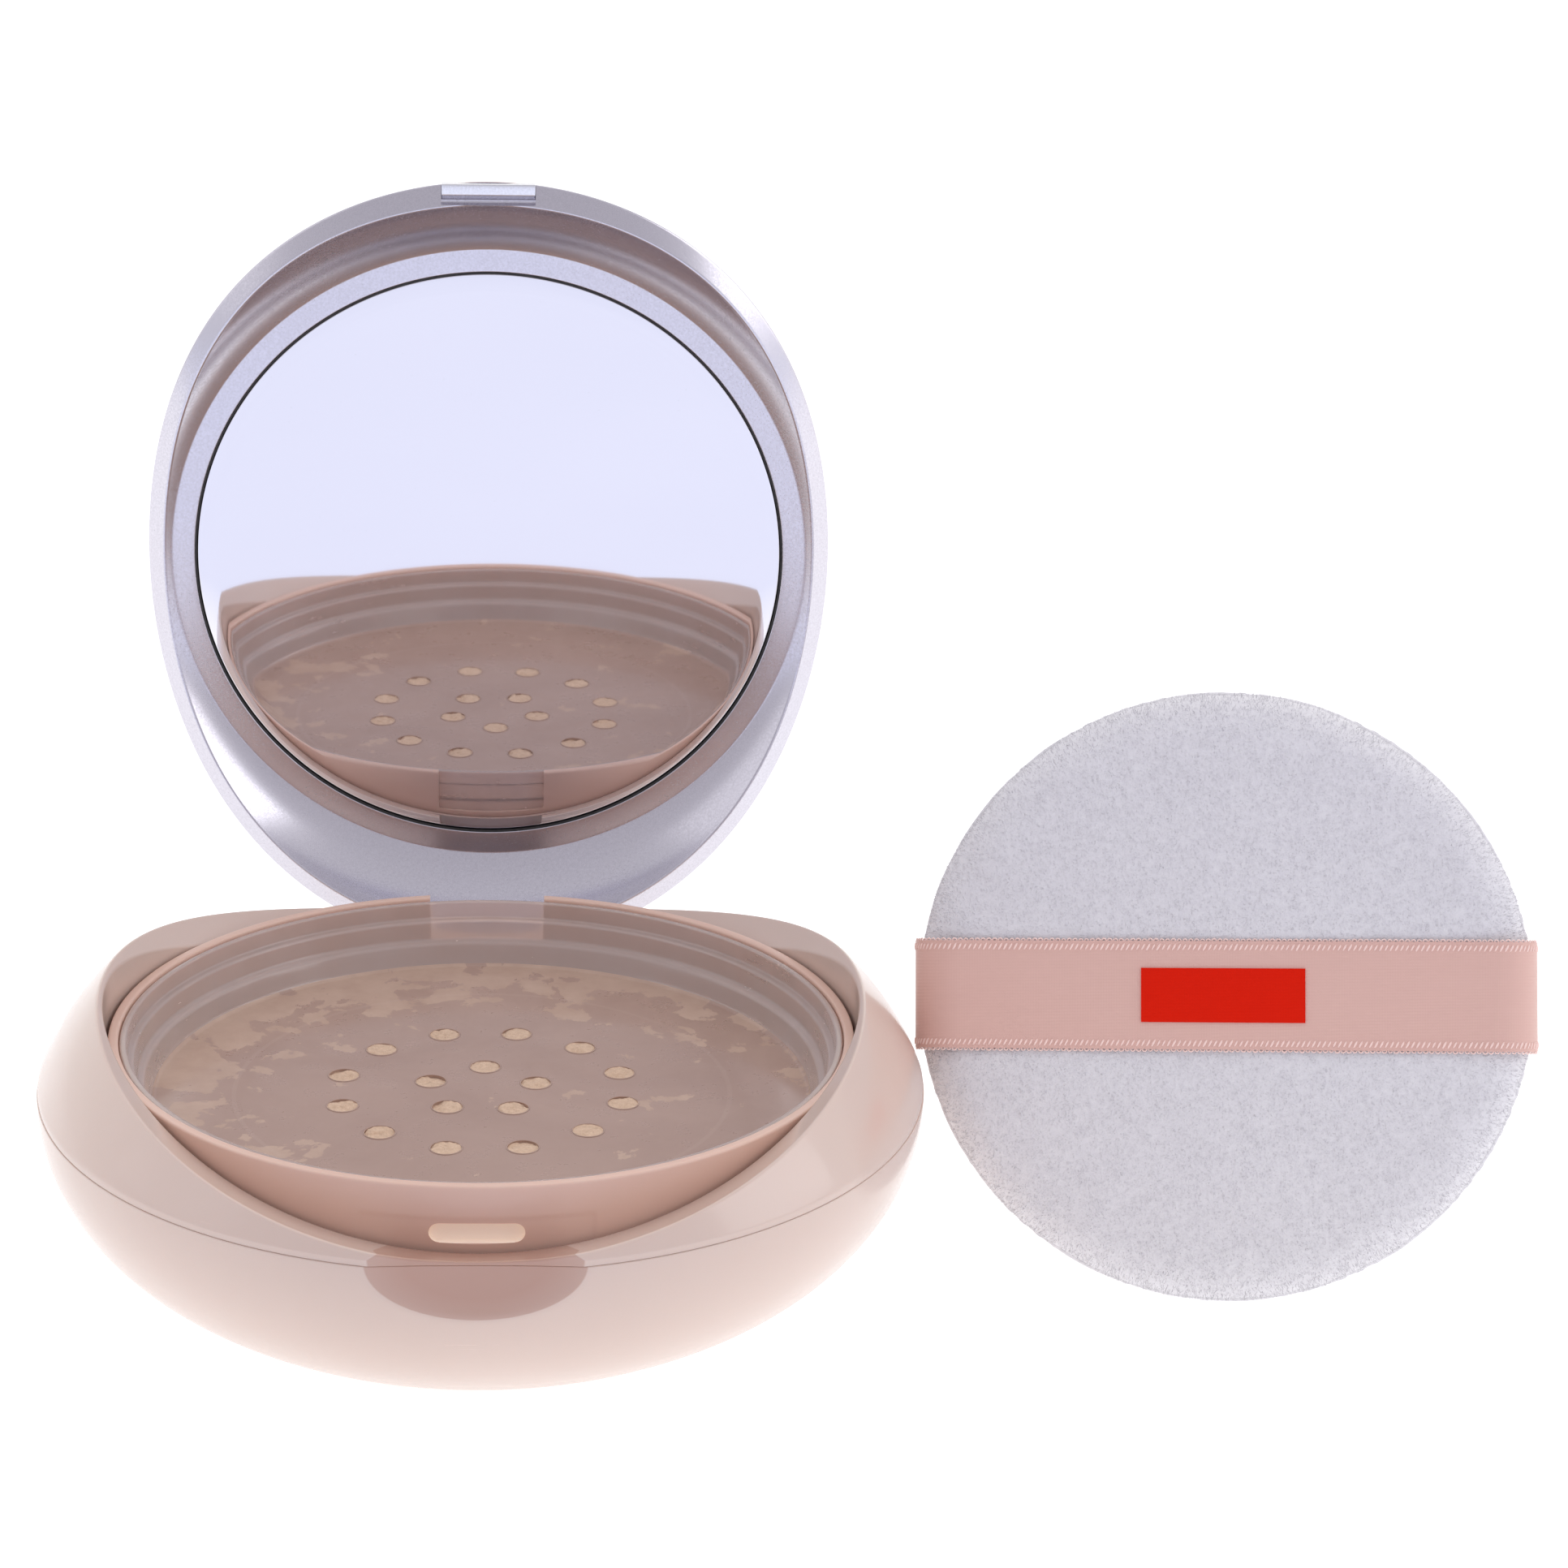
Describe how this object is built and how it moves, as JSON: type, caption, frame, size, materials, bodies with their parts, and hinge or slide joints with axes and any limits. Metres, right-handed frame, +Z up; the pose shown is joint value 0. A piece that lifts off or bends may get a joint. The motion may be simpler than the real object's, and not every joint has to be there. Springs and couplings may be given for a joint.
{
  "type": "powder compact",
  "caption": "Round loose-powder compact with hinged mirror lid, clear sifter over a powder jar, thumb notch, and a velour puff standing beside it.",
  "frame": {"origin": "centre of the flat foot of the case, on the surface that it stands on", "axes": "+Z up out of the case, -Y towards the user and the thumb notch, +Y towards the hinge, +X towards the puff"},
  "size_m": [0.1461, 0.1046, 0.101],
  "materials": {
    "case_plastic": "glossy nude-pink moulded plastic",
    "ring_plastic": "satin beige-pink moulded plastic",
    "jar_plastic": "satin beige moulded plastic",
    "powder": "fine pressed-down loose powder",
    "clear_plastic": "clear moulded plastic, lightly dusted",
    "label": "blank matte film label",
    "pin_steel": "drawn steel wire",
    "lid_plastic": "glossy nude-pink moulded plastic",
    "satin_metallised": "satin vacuum-metallised plastic",
    "dark_adhesive": "black adhesive foam",
    "mirror": "silvered flat glass",
    "bright_metallised": "bright vacuum-metallised plastic",
    "puff_foam": "soft open-cell foam",
    "puff_velour": "short-pile white velour",
    "puff_seam": "turned velour seam",
    "ribbon_satin": "peach satin ribbon with picot edges",
    "patch_red": "plain red woven patch"
  },
  "bodies": {
    "case": {"lower_bowl": "case_plastic", "rim_collar": "case_plastic", "inner_ring": "ring_plastic", "powder_jar": "jar_plastic", "loose_powder": "powder", "sifter": "clear_plastic", "base_label": "label", "hinge_pin": "pin_steel"},
    "lid": {"lid_shell": "lid_plastic", "lid_liner": "satin_metallised", "mirror_pad": "dark_adhesive", "mirror_glass": "mirror", "latch_tab": "bright_metallised"},
    "puff": {"puff_core": "puff_foam", "puff_front": "puff_velour", "puff_back": "puff_velour", "puff_seam": "puff_seam", "puff_ribbon": "ribbon_satin", "ribbon_patch": "patch_red"}
  },
  "joints": [
    {"name": "lid_hinge", "type": "hinge", "parent": "case", "child": "lid", "pos_m": [0, 0.0411, 0.0175], "axis": [1, 0, 0], "range_deg": [0, 88.4]},
    {"name": "puff_lift", "type": "slide", "parent": "case", "child": "puff", "axis": [0, 0, 1], "range_m": [0, 0.04]}
  ]
}
